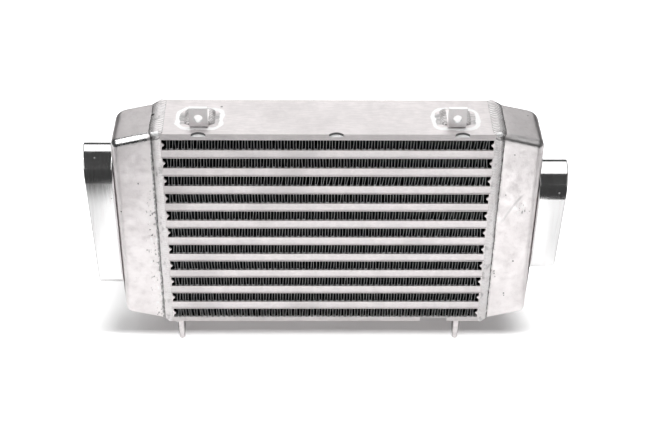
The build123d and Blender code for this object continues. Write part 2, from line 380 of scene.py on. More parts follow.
def bead_base(across):
    """Loop under one row of a tank bead, and how far it is sunk."""
    radius = BEAD_CORNER + (EDGE_RADIUS - BEAD_CORNER) * clamp((across + 0.2) / 0.7)
    sunk = TANK_STEP * clamp((across + 0.1) / 0.6)
    low, high = (FRONT + sunk, BOTTOM + sunk), (REAR - sunk, TOP - sunk)
    return rounded_loop(0, low, high, radius + 0.6, *BEAD_STEPS), sunk


def bead_height(side, travel, across, on_top, wave, seed):
    """How far a tank bead stands above its base."""
    swell = math.sqrt(max(1 - abs(across) ** 2.4, 0.0))
    lump = wave_at(travel * 0.045, seed * 3.1, 5.0)
    lump += 0.5 * wave_at(travel * 0.3, across * 1.5, seed)
    height = (0.84 + 0.2 * lump) * swell - 0.1
    height += RIPPLE_HEIGHTS[side] * (1 + 1.2 * on_top) * swell * (wave - 0.5)
    return height, swell


def bead_x(travel, across, on_top, seed):
    """Place along X of a point of a tank bead."""
    width = 1 + 0.09 * wave_at(travel * 0.16, seed * 1.7, 1.0)
    width += 0.05 * wave_at(travel * 0.6, seed * 2.3, across)
    drift = 0.25 * wave_at(travel * 0.05, seed, 8.0)
    return CORE_END + (WELD_HALF_WIDTH + WELD_TOP_SPREAD * on_top) * across * width + drift


def bead_soot_and_shade(side, place, travel, across, on_top, wave, seed):
    """Soot and painted shade in the ripple roots, at the toes and round the drop."""
    dark = RIPPLE_DARKNESS[side] * (1 - on_top) + TOP_RIPPLE_DARKNESS[side] * on_top
    soot = dark * max(1 - 1.5 * wave, 0.0)
    toe = 0.75 + 0.5 * wave_at(travel * 0.25, seed, 4.0)
    if across > 0.72 + 0.12 * on_top or (across < -0.9 and on_top > 0.5):
        soot = max(soot, toe * (1 - 0.3 * on_top))
    ring = abs((place - DROP_PLACE).length - DROP_RADIUS)
    low = clamp((DROP_PLACE.z - 1.0 - place.z) / 1.5)
    return max(soot, (0.9 - ring) * low)


def bead_row(side, across, seed):
    """Points of one row of a tank bead, and the soot at each."""
    proud_limit = FRONT - WELD_FRONT
    base, sunk = bead_base(across)
    row, soot_and_shade_values = [], []
    travel = 0.0
    for j, point in enumerate(base):
        before, after = base[j - 1], base[(j + 1) % len(base)]
        travel += (point - before).length if j else 0.0
        out = Vector((1, 0, 0)).cross(after - before).normalized()
        if out.dot(point - CENTRE) < 0:
            out = -out
        on_top = max(out.z, 0.0) ** 4
        pitch = TOP_RIPPLE_PITCH if on_top > 0.5 else RIPPLE_PITCHES[side]
        wave = ripple(travel, across, seed, pitch)
        height, swell = bead_height(side, travel, across, on_top, wave, seed)
        height = min(height, proud_limit) + sunk * swell
        moved = point + out * min(height, proud_limit + sunk)
        moved.x = bead_x(travel, across, on_top, seed)
        moved.z -= max(moved.x - CORE_END, 0.0) * TOP_SLOPE * on_top
        row.append(moved)
        soot_and_shade_values.append(bead_soot_and_shade(side, moved, travel, across, on_top, wave, seed))
    return row, soot_and_shade_values


def build_tank_weld(side, material, seed):
    """Rippled bead round the joint, seated in the core and the tank."""
    rows, soot_and_shade_values = [], []
    for i in range(BEAD_ROWS + 1):
        row, dark = bead_row(side, -1 + 2 * i / BEAD_ROWS, seed)
        rows.append(row)
        soot_and_shade_values += dark
    low, high = (FRONT + WELD_BURIED, BOTTOM + WELD_BURIED), (REAR - WELD_BURIED, TOP - WELD_BURIED)
    for across in (0.9, -0.9):
        rows.append(rounded_loop(CORE_END + WELD_HALF_WIDTH * across, low, high, 1.2, *BEAD_STEPS))
    mesh = mesh_of_loops(side + "_tank_weld_shape", [to_side(side, row) for row in rows])
    set_soot_and_shade(mesh, soot_and_shade_values)
    new_piece(side + "_tank_bead", mesh, material, [side + "_tank_weld"])


def lug_bead_path(place):
    """Points on the foot's edge with the outward direction, round three sides."""
    half = (LUG_HIGH.x - LUG_LOW.x) / 2
    start, end = LUG_WELD_LOW.y, LUG_HIGH.y
    corners = ((place - half, start), (place - half, end),
               (place + half, end), (place + half, start))
    path = []
    for side, out in enumerate(((-1, 0, 0), (0, 1, 0), (1, 0, 0))):
        (x, y), (next_x, next_y) = corners[side:side + 2]
        # a fan round the corner before the second and the third side
        for i in range(1, LUG_BEAD_TURNS if side else 0):
            turn = math.radians(270 - 90 * side - 90 * i / LUG_BEAD_TURNS)
            path.append((Vector((x, y, 0)), Vector((math.cos(turn), math.sin(turn), 0))))
        count = int((2 * half if side == 1 else end - start) / LUG_BEAD_STEP)
        for share in (i / count for i in range(count + 1)):
            point = Vector((x + (next_x - x) * share, y + (next_y - y) * share, 0))
            path.append((point, Vector(out)))
    return path


def build_lug_weld(side, material, seed):
    """Rippled fillet round three sides of a lug's foot, thinner at its two ends."""
    leg = LUG_WELD_HIGH.y - LUG_HIGH.y
    crest = LUG_WELD_HIGH.z - TOP
    loops, soot_and_shade_values = [], []
    travel = 0.0
    path = lug_bead_path(-LUG_PLACE if side == "left" else LUG_PLACE)
    for index, (edge, out) in enumerate(path):
        if index:
            travel += max((edge - path[index - 1][0]).length, 0.25)
        grow = 0.9 + 0.1 * wave_at(travel * 0.2, seed, 3.0)
        taper = min(1.0, 0.45 + min(index, len(path) - 1 - index) / 9)
        loop = []
        for row in range(LUG_BEAD_ROWS + 1):
            share = row / LUG_BEAD_ROWS
            height = ripple(travel, 2 * share - 1, seed, LUG_RIPPLE_PITCH)
            bulge = math.sin(math.pi * share) * (0.55 + 0.8 * (height - 0.6))
            reach = (leg * share * grow + bulge * 0.5) * taper
            rise = (crest * (1 - share) + bulge * 0.8) * taper
            loop.append(edge + out * min(reach, leg) + Vector((0, 0, TOP + min(rise, crest + 0.4))))
            # soot and painted shade in the ripple roots
            soot_and_shade_values.append(0.08 + 0.75 * max(1 - 1.5 * height, 0.0))
        # closed under the plate's face and inside the foot
        for reach, level in ((leg * 0.9 * taper, -LUG_BEAD_BURIED), (-0.5, -LUG_BEAD_BURIED),
                             (-0.5, crest * 0.8 * taper)):
            loop.append(edge + out * reach + Vector((0, 0, TOP + level)))
            soot_and_shade_values.append(0.1)
        loops.append(loop)
    mesh = mesh_of_loops(side + "_lug_weld_shape", loops, closed=False)
    set_soot_and_shade(mesh, soot_and_shade_values)
    new_piece(side + "_lug_bead", mesh, material, [side + "_lug_weld"])


def build_lump(name, place, radii, lean, material):
    """Frozen drop of weld metal; place and radii in mm, lean in degrees about Y."""
    work = bmesh.new()
    bmesh.ops.create_icosphere(work, subdivisions=4, radius=1.0)
    for vert in work.verts:
        lump = 1 + 0.16 * noise.noise(vert.co * 1.6 + Vector((4, 1, 7)))
        vert.co *= lump + 0.03 * math.sin(9 * vert.co.z + 3 * vert.co.x)
    form = Matrix.Diagonal(Vector((*(radius * MM for radius in radii), 1)))
    turned = Matrix.Rotation(math.radians(lean), 4, "Y") @ form
    bmesh.ops.transform(work, verts=work.verts, matrix=Matrix.Translation(Vector(place) * MM) @ turned)
    new_piece(name, finish_mesh(name + "_shape", work), material)


# ---- fins
def lean_at(row, share):
    """Lean of the wave heads in a row, at a share of its length from the left."""
    left, middle, right = ROW_LEANS[row - 1]
    if share < 0.5:
        return left + (middle - left) * math.sin(math.pi * share) ** 2
    return middle + (right - middle) * math.sin(math.pi * (share - 0.5)) ** 2


def fin_line(low, high, row):
    """Centre line of one row of square-crested waves, as (x, z) points."""
    rng = random.Random(row)
    pitch = (high.x - low.x) / WAVES
    bottom = low.z + FIN_SHEET / 2
    top = high.z - FIN_SHEET / 2
    walls = []
    sweep = rng.uniform(0, 6)
    for i in range(2 * WAVES):
        x = low.x + pitch * (i + 0.5) / 2
        slow = 0.15 * math.sin(i * 0.11 + sweep)
        from_end = min(i, 2 * WAVES - 1 - i)
        loose = 1.0 + 1.2 * math.exp(-from_end / 3)
        foot = x + rng.uniform(-0.16, 0.16) * loose
        lean = lean_at(row, i / (2 * WAVES - 1)) * min(from_end / 4, 1.0)
        head = x + rng.uniform(-WALL_LEAN, WALL_LEAN) * loose + slow + lean
        walls.append((foot, head))
    points = []
    for i, (foot, head) in enumerate(walls):
        ends = ((foot, bottom), (head, top))
        for number, (x, z) in enumerate(ends[::-1] if i % 2 else ends):
            # the corner turns from the flat before into the wall, or from the wall on
            flat = 1 if number else -1
            inward = 1 if z == bottom else -1
            for k in range(CREST_STEPS + 1):
                turn = math.radians(90) * (CREST_STEPS - k if number else k) / CREST_STEPS
                points.append((x + flat * CREST_RADIUS * (1 - math.sin(turn)),
                               z + inward * CREST_RADIUS * (1 - math.cos(turn))))
    ordered = [points[0]]
    for point in points[1:]:
        if point[0] > ordered[-1][0] - CREST_RADIUS:
            ordered.append(point)
    return ordered


def thicken(line):
    """Closed outline of the sheet that follows a centre line."""
    over, under = [], []
    for i, (x, z) in enumerate(line):
        before, after = line[max(i - 1, 0)], line[min(i + 1, len(line) - 1)]
        run, rise = after[0] - before[0], after[1] - before[1]
        half = FIN_SHEET / 2 / (math.hypot(run, rise) or 1.0)
        over.append((x - rise * half, z + run * half))
        under.append((x + rise * half, z - run * half))
    return over + under[::-1]


# Braze lumps: sizes, radii at full size, and place behind the front and above the bar
FOOT_SIZES = (0.45, 1.0)
FOOT_RADII = (0.95, 0.8, 1.15)
FOOT_BEHIND = 0.85
FOOT_ABOVE = 0.2


def add_braze_feet(work, low, high, row):
    """Small lumps of braze where the lower crests meet the bar below."""
    rng = random.Random(100 + row)
    pitch = (high.x - low.x) / WAVES
    for i in range(WAVES):
        size = rng.uniform(*FOOT_SIZES) * (0.75 + 0.25 * math.sin(i * 0.35 + row))
        x = low.x + pitch * (i + rng.uniform(-0.1, 0.1))
        inside = min(max(x, low.x + 1.0), high.x - 1.0)
        place = Vector((inside, low.y + FOOT_BEHIND, low.z + FOOT_ABOVE))
        lump = bmesh.ops.create_icosphere(work, subdivisions=2, radius=1.0)["verts"]
        wide, deep, tall = FOOT_RADII
        form = Matrix.Diagonal(Vector((wide * size * MM, deep * MM, tall * size * MM, 1)))
        bmesh.ops.transform(work, verts=lump, matrix=Matrix.Translation(place * MM) @ form)


def build_fin(number, material):
    node = f"ambient_fin_{number:02d}"
    low, high = (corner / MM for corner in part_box(node))
    outline = [(min(max(x, low.x), high.x), min(max(z, low.z), high.z))
               for x, z in thicken(fin_line(low, high, number))]
    work = bmesh.new()
    rings = []
    for station in range(FIN_STATIONS):
        y = low.y + (high.y - low.y) * station / (FIN_STATIONS - 1)
        rings.append([work.verts.new(Vector((x, y, z)) * MM) for x, z in outline])
    for ring, after in zip(rings, rings[1:]):
        join_rings(work, ring, after)
    for ring in (rings[0], rings[-1]):
        for j in range(len(outline) // 2 - 1):
            work.faces.new((ring[j], ring[j + 1], ring[-2 - j], ring[-1 - j]))
    add_braze_feet(work, low, high, number)
    mesh = finish_mesh(node + "_shape", work)
    new_piece(f"fin_row_{number:02d}", mesh, material, [node])


# ---- materials
WARM = 0.05


def grey(value, warmth=0.0):
    """A nearly neutral metal colour; warmth adds red."""
    return (min(value * (1 + warmth), 1.0), value, value, 1.0)


def in_mm(x, y, z):
    """A place in mm, in the scene's own unit."""
    return (x * MM, y * MM, z * MM)


WHITE = grey(1.0)


class Graph:
    """The node tree of a material, or of the world, written as calls."""

    def __init__(self, name, owners=bpy.data.materials, kind="Material", place="Object"):
        self.owner = owners.new(name)
        self.owner.use_nodes = True
        self.tree = self.owner.node_tree
        self.tree.nodes.clear()
        self.output = self.node("Output" + kind)
        self.place = self.node("TexCoord").outputs[place]

    def node(self, kind, inputs=(), settings=None, **named):
        """New node with values or sockets for its inputs, by place or by name."""
        node = self.tree.nodes.new("ShaderNode" + kind)
        for key, value in (settings or {}).items():
            setattr(node, key, value)
        for key, value in (*enumerate(inputs), *named.items()):
            socket = node.inputs[key]
            if isinstance(value, bpy.types.NodeSocket):
                self.tree.links.new(value, socket)
            elif value is not None:
                socket.default_value = value
        return node

    def finish(self, shader):
        self.tree.links.new(shader.outputs[0], self.output.inputs["Surface"])
        return self.owner

    def math(self, operation, *values):
        return self.node("Math", values, {"operation": operation}).outputs[0]

    def size(self, value):
        return self.math("ABSOLUTE", value)

    def chain(self, operation, *values):
        """Joins two or more values by one operation, from the left."""
        result = values[0]
        for value in values[1:]:
            result = self.math(operation, result, value)
        return result

    def times(self, *values):
        return self.chain("MULTIPLY", *values)

    def most(self, *values):
        return self.chain("MAXIMUM", *values)

    def less(self, first, second):
        return self.math("SUBTRACT", first, second)

    def vector(self, operation, *values):
        node = self.node("VectorMath", values, {"operation": operation})
        single = operation in ("LENGTH", "DISTANCE", "DOT_PRODUCT")
        return node.outputs["Value" if single else "Vector"]

    def stretched(self, x, y, z):
        return self.vector("MULTIPLY", self.place, (x, y, z))

    def distance(self, x, y, z):
        """Distance from a place given in mm."""
        return self.vector("DISTANCE", self.place, in_mm(x, y, z))

    def noise(self, scale, detail=3.0, roughness=0.55, vector=None):
        return self.node("TexNoise", Vector=vector or self.place, Scale=scale, Detail=detail,
                         Roughness=roughness).outputs["Fac"]

    def span(self, value, low, high, start=0.0, end=1.0, shape="SMOOTHSTEP"):
        """Maps low..high of a value onto start..end, smoothly and clamped."""
        limits = (value, low, high, start, end)
        return self.node("MapRange", limits, {"interpolation_type": shape}).outputs[0]

    def span_mm(self, value, low, high, start=0.0, end=1.0):
        """The same, for a length between two lengths in mm."""
        return self.span(value, low * MM, high * MM, start, end)

    def along(self, axis, low, high, start=0.0, end=1.0):
        """The same, for one coordinate."""
        return self.span_mm(self.axis(axis), low, high, start, end)

    def from_face(self, deep, shallow, start=0.0, end=1.0):
        """The same, for how deep a point lies behind the core's front or back."""
        half = REAR - MIDDLE
        from_middle = self.size(self.less(self.axis("Y"), MIDDLE * MM))
        return self.span_mm(from_middle, half - deep, half - shallow, start, end)

    def mix(self, share, first, second):
        """Mixes two colours."""
        values = (share, None, None, None, None, None, first, second)
        return self.node("Mix", values, {"data_type": "RGBA"}).outputs[2]

    def between(self, share, first, second):
        """Mixes two numbers."""
        return self.node("Mix", (share, None, first, second), {"data_type": "FLOAT"}).outputs[0]

    def blend(self, value, dark, light, warmth=WARM):
        """Colour that runs from a dark to a light grey with a noise value."""
        return self.mix(self.span(value, 0.3, 0.7), grey(dark, warmth), grey(light, warmth))

    def tinted(self, colour, value, low, high, share, tone):
        """Mixes a warm grey in, up to a share, as a value runs from low to high."""
        return self.mix(self.span(value, low, high, 0.0, share), colour, grey(tone, WARM))

    def axis(self, name):
        return self.node("SeparateXYZ", [self.place]).outputs[name]

    def metal(self, colour, roughness, *bumps, metallic=1.0):
        """Finished metal; a bump is a height, a strength and a distance in mm."""
        normal = None
        for height, strength, distance in bumps:
            bump = self.node("Bump", Height=height, Strength=strength, Distance=distance * MM,
                             Normal=normal)
            normal = bump.outputs[0]
        values = {"Base Color": colour, "Roughness": roughness, "Metallic": metallic, "Normal": normal}
        return self.finish(self.node("BsdfPrincipled", **values))


# Marks on the top plate, in mm; a pair says where a mark starts to fade and is gone
RING_MIDDLE_Y = (LUG_HIGH.y + 5.0) / 2
RING_CORE = (9.4, 6.5)
RING_RADIUS = 8.0
RING_WANDER = 0.9
RING_HALF_WIDTH = (1.3, 2.1)
BURNT_RADIUS = (6.2, 7.4)
BURNT_HALF_DEPTH = (5.5, 9.5)
PLATE_DOT = (-84.6, 32.0, TOP)
PLATE_DOT_RADIUS = (0.6, 1.3)
# Depth below the top to which a scallop's wall keeps its painted shade; below it the wall gets a
# painted highlight
SCALLOP_SHADE_DEPTH = 2.2


def lug_marks(g):
    """Masks of the pale ring round each lug and the dull skin within."""
    mirrored = g.node("CombineXYZ", [g.size(g.axis("X")), g.axis("Y"), 0.0]).outputs[0]
    offset = g.vector("SUBTRACT", mirrored, in_mm(LUG_PLACE, RING_MIDDLE_Y, 0))
    past = g.vector("SUBTRACT", g.vector("ABSOLUTE", offset), in_mm(*RING_CORE, 0))
    away = g.vector("LENGTH", g.vector("MAXIMUM", past, (0, 0, 0)))
    wander = g.span(g.noise(130, 3, 0.6), 0.25, 0.75, -RING_WANDER * MM, RING_WANDER * MM)
    from_ring = g.size(g.less(g.math("ADD", away, wander), RING_RADIUS * MM))
    on_top = g.along("Z", TOP - 1.0, TOP - 0.3)
    ring = g.times(g.span_mm(from_ring, *RING_HALF_WIDTH, 1.0, 0.0), on_top)
    aside = g.size(g.less(g.axis("Y"), RING_MIDDLE_Y * MM))
    streak = g.noise(300, 3, 0.6, g.stretched(0.5, 1.6, 1))
    burnt = g.times(g.span_mm(away, *BURNT_RADIUS, 1.0, 0.0), on_top,
                    g.span_mm(aside, *BURNT_HALF_DEPTH, 1.0, 0.0),
                    g.span(streak, 0.35, 0.6, 0.25, 0.9))
    return ring, burnt


def scallop_shade_and_highlight(g):
    """Masks of a scallop's wall, for painted shade, and of its lower part, for a painted highlight
    over it.
    """
    wall = g.times(g.along("Y", FRONT + 0.1, FRONT + 0.3),
                   g.along("Y", FRONT + 4.0, FRONT + 5.0, 1.0, 0.0),
                   g.along("Z", TOP - 0.2, TOP - 0.1, 1.0, 0.0))
    shade_end = TOP - SCALLOP_SHADE_DEPTH
    return wall, g.times(wall, g.along("Z", shade_end, shade_end + 0.3, 1.0, 0.0))


def plate_metal():
    """Satin sheet with rings round the lugs, and painted shade and a painted highlight in the
    scallops.
    """
    g = Graph("plate_satin")
    cloud = g.noise(55, 4, 0.6)
    grain = g.noise(900, 2, 0.6, g.stretched(0.12, 1, 1))
    mottle = g.noise(34, 4, 0.7, g.stretched(0.8, 0.5, 1))
    ring, burnt = lug_marks(g)
    wall, painted_highlight = scallop_shade_and_highlight(g)
    colour = g.blend(cloud, 0.76, 0.90)
    colour = g.tinted(colour, grain, 0.38, 0.62, 0.35, 0.66)
    colour = g.tinted(colour, mottle, 0.45, 0.7, 0.42, 0.6)
    colour = g.mix(burnt, colour, grey(0.42))
    dot = g.span_mm(g.distance(*PLATE_DOT), *PLATE_DOT_RADIUS, 0.8, 0.0)
    colour = g.mix(dot, colour, grey(0.15))
    colour = g.mix(ring, colour, WHITE)
    # painted shade on each scallop's wall, then a painted highlight on its lower part
    colour = g.mix(wall, colour, grey(0.2))
    colour = g.mix(painted_highlight, colour, WHITE)
    frosted = g.most(ring, painted_highlight)
    rough = g.math("ADD", g.span(cloud, 0.25, 0.75, 0.46, 0.58), g.times(frosted, 0.15))
    return g.metal(colour, rough, (cloud, 0.25, 0.5), (grain, 0.18, 0.06),
                   (g.noise(2600, 1, 0.5), 0.2, 0.03), metallic=g.less(0.6, g.times(frosted, 0.35)))


def bar_metal():
    """Pale satin bars, painted dark as shade more than a few mm behind the core's faces."""
    g = Graph("bar_satin")
    cloud = g.noise(90, 4, 0.6)
    grain = g.noise(1400, 2, 0.6, g.stretched(0.25, 1, 1))
    slow = g.noise(14, 2, 0.5, g.stretched(1, 0.5, 1.6))
    colour = g.blend(cloud, 0.76, 0.89)
    colour = g.tinted(colour, grain, 0.4, 0.65, 0.25, 0.62)
    colour = g.tinted(colour, slow, 0.5, 0.68, 0.45, 0.56)
    # painted shade deeper inside the core
    colour = g.mix(g.from_face(2.6, 0.7, 1.0, 0.0), colour, grey(0.03))
    return g.metal(colour, g.span(cloud, 0.25, 0.75, 0.4, 0.52), (cloud, 0.2, 0.4),
                   (grain, 0.25, 0.07), (g.noise(2300, 2, 0.6), 0.3, 0.05))


def fin_metal():
    """Sheet painted grey as the shade among the fins, nearly black within the channels, with painted
    highlights at its feet.
    """
    g = Graph("fin_sheet")
    cloud = g.noise(160, 3, 0.6)
    colour = g.blend(cloud, 0.25, 0.46, warmth=0.0)
    # painted shade within the channels
    colour = g.mix(g.from_face(1.6, 0.5, 1.0, 0.0), colour, grey(0.01))
    # painted highlight at the feet of each row
    down = g.math("MODULO", g.less(STACK_TOP * MM, g.axis("Z")), ROW_PITCH * MM)
    foot = g.span_mm(down, FIN_HEIGHT - 1.3, FIN_HEIGHT - 0.6)
    colour = g.mix(g.times(foot, g.from_face(1.6, 1.0)), colour, grey(0.97))
    return g.metal(colour, g.span(cloud, 0.3, 0.7, 0.38, 0.55), (g.noise(900, 2), 0.3, 0.05))


# Marks on the tanks' fronts, in mm: pits (x, z, radius), spatter beside the left bead,
# a scuffed patch and a bowed crease on the right, and the seam beside each bead
TANK_PITS = ((-150.9, -56.7, 0.9), (-166.6, -84.5, 1.0), (-142.4, -72.5, 0.7),
             (-144.4, -102.8, 0.8), (-143.2, -88.0, 0.7), (-141.8, -64.0, 0.6),
             (-148.3, -123.9, 0.7), (147.4, -28.4, 0.7), (155.5, -135.3, 0.9),
             (140.5, -146.0, 0.9), (140.8, -148.5, 0.8), (150.6, -170.1, 0.9),
             (151.0, -172.5, 0.7))
SPATTER_X = (-150, -143)
SPATTER_Z = (-60, -80)
SCUFF_PLACE = (156.5, FRONT, -82)
SCUFF_RADIUS = (4, 9)
CREASE_START = (142.8, -94.6)
CREASE_END = (152.0, -70.3)
CREASE_BOW = 3.0
CREASE_HALF_WIDTH = (0.4, 1.5)
CREASE_FADES = (2, 8)
SEAM_LEAN = 0.8
SEAM_LEAN_HEIGHT = 40
SEAM_WANDER = 1.6


def pit_marks(g):
    """Mask of the listed pits and of small ones in patches."""
    cells = g.node("TexVoronoi", Vector=g.place, Scale=130).outputs["Distance"]
    small = g.times(g.span(cells, 0.05, 0.1, 1.0, 0.0), g.span(g.noise(60, 2), 0.52, 0.62))
    pits = [g.span_mm(g.distance(x, FRONT + TANK_STEP, z), 0.25 * radius, radius, 1.0, 0.0)
            for x, z, radius in TANK_PITS]
    return g.most(*pits, g.times(small, 0.6))


def crease_mark(g):
    """Mask of the bowed crease, which fades at both ends."""
    run, rise = CREASE_END[0] - CREASE_START[0], CREASE_END[1] - CREASE_START[1]
    reach = math.hypot(run, rise)
    offset = g.vector("SUBTRACT", g.place, in_mm(CREASE_START[0], 0, CREASE_START[1]))
    along = g.vector("DOT_PRODUCT", offset, (run / reach, 0, rise / reach))
    aside = g.vector("DOT_PRODUCT", offset, (rise / reach, 0, -run / reach))
    bow = g.times(g.math("POWER", g.math("DIVIDE", along, reach * MM), 2.0), CREASE_BOW * MM)
    line = g.span_mm(g.size(g.less(aside, bow)), *CREASE_HALF_WIDTH, 0.35, 0.0)
    fade_in, fade_out = CREASE_FADES
    return g.times(line, g.times(g.span_mm(along, -fade_in, fade_in),
                                 g.span_mm(along, reach, reach + fade_out, 1.0, 0.0)))


def seam_mark(g, out):
    """Mask of the sooty line where the bead meets the casting."""
    leaning = g.times(g.along("Z", TOP, TOP - SEAM_LEAN_HEIGHT), SEAM_LEAN * MM)
    crooked = g.times(g.less(g.noise(90, 3, 0.6), 0.5), SEAM_WANDER * MM)
    to_seam = g.less(g.less(out, g.math("ADD", leaning, crooked)),
                     (CORE_END + WELD_HALF_WIDTH - 0.5) * MM)
    # stronger on the left tank and at the front
    uneven = g.times(g.span(g.noise(260, 3, 0.6), 0.35, 0.6, 0.25, 0.85),
                     g.along("X", -1.0, 1.0, 0.85, 0.25),
                     g.along("Y", FRONT + 1, FRONT + 8, 1.0, 0.4))
    return g.times(g.span_mm(to_seam, 0.3, 1.0, 1.0, 0.0), uneven)


def brushed_colour(g, lines, out):
    """Spigot metal, brushed round the oval and darker at the rim."""
    streak = g.noise(330, 3, 0.65, g.stretched(1, 0.04, 0.04))
    colour = g.mix(g.span(lines, 0.35, 0.65), grey(0.9), grey(0.985))
    colour = g.tinted(colour, streak, 0.45, 0.7, 0.4, 0.72)
    slant = g.math("ADD", g.times(g.less(g.axis("Y"), MIDDLE * MM), math.tan(SPIGOT_TURN)),
                   g.times(g.less(g.axis("Z"), SPIGOT_Z * MM), math.tan(SPIGOT_DIP)))
    to_rim = g.less(g.math("ADD", slant, SPIGOT_END * MM), out)
    return g.mix(g.span_mm(to_rim, 0.2, 1.2, 0.6, 0.0), colour, grey(0.55))


def top_edge_highlight(g, out):
    """Mask of the top-front edge's painted highlight, which also lowers its roughness, fainter on the
    right tank.
    """
    fall = g.times(g.less(out, CORE_END * MM), TOP_SLOPE)
    under = g.less(g.less((TOP - TANK_STEP) * MM, fall), g.axis("Z"))
    return g.times(g.span_mm(under, 4.0, 5.5, 1.0, 0.0),
                   g.along("Y", FRONT + 5.0, FRONT + 6.5, 1.0, 0.0),
                   g.span_mm(out, CORE_END + 5, CORE_END + 7),
                   g.along("X", -1.0, 1.0, 1.0, 0.35))


def cast_metal():
    """Pitted cast skin with polished spigots, and a painted highlight on its top edges."""
    g = Graph("cast_skin")
    wide = g.noise(38, 4, 0.62)
    cloud = g.noise(170, 4, 0.65)
    peel = g.noise(1500, 3, 0.6)
    fleck = g.noise(420, 3, 0.7, g.stretched(1, 1, 0.6))
    stroke = g.noise(520, 2, 0.6, g.stretched(1.3, 1, 0.35))
    lines = g.math("ADD", g.times(g.noise(1500, 3, 0.7, g.stretched(1, 0.03, 0.03)), 0.6),
                   g.times(g.noise(3400, 2, 0.7, g.stretched(1, 0.015, 0.015)), 0.4))
    out = g.size(g.axis("X"))
    spatter = g.times(g.along("X", *SPATTER_X), g.along("Z", *SPATTER_Z),
                      g.along("Y", FRONT + 1.5, FRONT + 2.5, 1.0, 0.0),
                      g.along("X", 0.0, 1.0, 1.0, 0.0))
    pits = g.most(pit_marks(g), g.times(spatter, g.span(fleck, 0.6, 0.68, 0.0, 0.7)))
    scuffs = g.span_mm(g.distance(*SCUFF_PLACE), *SCUFF_RADIUS, 1.0, 0.0)
    spigot = g.span_mm(out, TANK_END + 0.6, TANK_END + 2.0)
    edge = top_edge_highlight(g, out)
    colour = g.blend(wide, 0.84, 0.96)
    colour = g.tinted(colour, cloud, 0.45, 0.75, 0.3, 0.7)
    colour = g.mix(pits, colour, grey(0.16))
    colour = g.mix(g.times(spatter, g.span(fleck, 0.42, 0.34)), colour, WHITE)
    colour = g.mix(g.times(scuffs, g.span(stroke, 0.56, 0.62)), colour, WHITE)
    colour = g.mix(g.times(scuffs, g.span(stroke, 0.4, 0.35, 0.0, 0.8)), colour, grey(0.3))
    colour = g.mix(crease_mark(g), colour, grey(0.4))
    colour = g.mix(seam_mark(g, out), colour, grey(0.13))
    colour = g.mix(spigot, colour, brushed_colour(g, lines, out))
    # painted highlight along the top-front edge
    colour = g.mix(g.times(edge, 0.8), colour, WHITE)
    rough = g.less(g.span(cloud, 0.25, 0.75, 0.36, 0.52), g.times(edge, 0.2))
    rough = g.between(spigot, rough, g.span(lines, 0.3, 0.7, 0.1, 0.16))
    cast = g.less(1.0, spigot)
    skin = g.math("ADD", cloud, g.times(wide, 0.8))
    return g.metal(colour, rough, (g.times(skin, cast), 0.35, 0.5), (g.times(peel, cast), 0.25, 0.06),
                   (g.times(pits, -1.0), 0.8, 0.5), (g.times(lines, spigot), 0.02, 0.05))


# A sooty pit where the left bead starts, on top
START_PIT = (-139.0, 21.0, TOP - 0.6)
START_PIT_RADIUS = (1.0, 2.4)


def weld_metal(name, metallic):
    """Bead metal: bright crowns; soot and painted shade in the ripple roots and toes."""
    g = Graph(name)
    cloud = g.noise(120, 4, 0.65)
    speck = g.noise(900, 3, 0.6)
    blotch = g.noise(110, 3, 0.65, g.stretched(1.2, 1, 0.7))
    colour = g.blend(cloud, 0.84, 0.98)
    colour = g.tinted(colour, speck, 0.55, 0.75, 0.4, 0.45)
    colour = g.tinted(colour, blotch, 0.5, 0.68, 0.6, 0.36)
    soot = g.node("Attribute", settings={"attribute_name": "soot"}).outputs["Fac"]
    soot = g.most(soot, g.span_mm(g.distance(*START_PIT), *START_PIT_RADIUS, 1.0, 0.0))
    # soot and painted shade from the beads, and the start pit's soot
    colour = g.mix(soot, colour, grey(0.07))
    return g.metal(colour, g.span(cloud, 0.3, 0.7, 0.28, 0.44), (cloud, 0.3, 0.5),
                   (speck, 0.4, 0.12), metallic=metallic)


def drop_metal():
    """Frosted drops where the beads end."""
    g = Graph("weld_drop")
    cloud = g.noise(400, 3, 0.6)
    return g.metal(g.blend(cloud, 0.9, 1.0, warmth=0.0), g.span(cloud, 0.3, 0.7, 0.25, 0.4),
                   (cloud, 0.2, 0.2), metallic=0.1)


# Painted highlights on the lugs' bores and crowns, in mm
BORE_HIGHLIGHT_RADIUS = (3.6, 3.9)
CROWN_HIGHLIGHT_DEPTHS = (0.4, 0.2)


def lug_metal():
    """Folded sheet with faint saw lines, with painted highlights on its bore and crown."""
    g = Graph("lug_sheet")
    cloud = g.noise(140, 4, 0.6)
    lines = g.noise(1300, 2, 0.6, g.stretched(1, 0.15, 0.15))
    across = g.less(g.size(g.axis("X")), LUG_PLACE * MM)
    from_bolt = g.vector("LENGTH", g.node("CombineXYZ", [across, 0.0, g.axis("Z")]).outputs[0])
    # painted highlight on the bore and the crown, where the metal's share is also lowered
    painted_highlight = g.most(g.span_mm(from_bolt, *BORE_HIGHLIGHT_RADIUS, 1.0, 0.0),
                  g.along("Z", *(LUG_CROWN - depth for depth in CROWN_HIGHLIGHT_DEPTHS)))
    colour = g.blend(cloud, 0.93, 0.98)
    colour = g.tinted(colour, lines, 0.45, 0.7, 0.2, 0.78)
    colour = g.mix(painted_highlight, colour, WHITE)
    return g.metal(colour, g.span(cloud, 0.3, 0.7, 0.36, 0.48), (cloud, 0.25, 0.4),
                   (lines, 0.25, 0.06), metallic=g.span(painted_highlight, 0.0, 1.0, 0.55, 0.1))


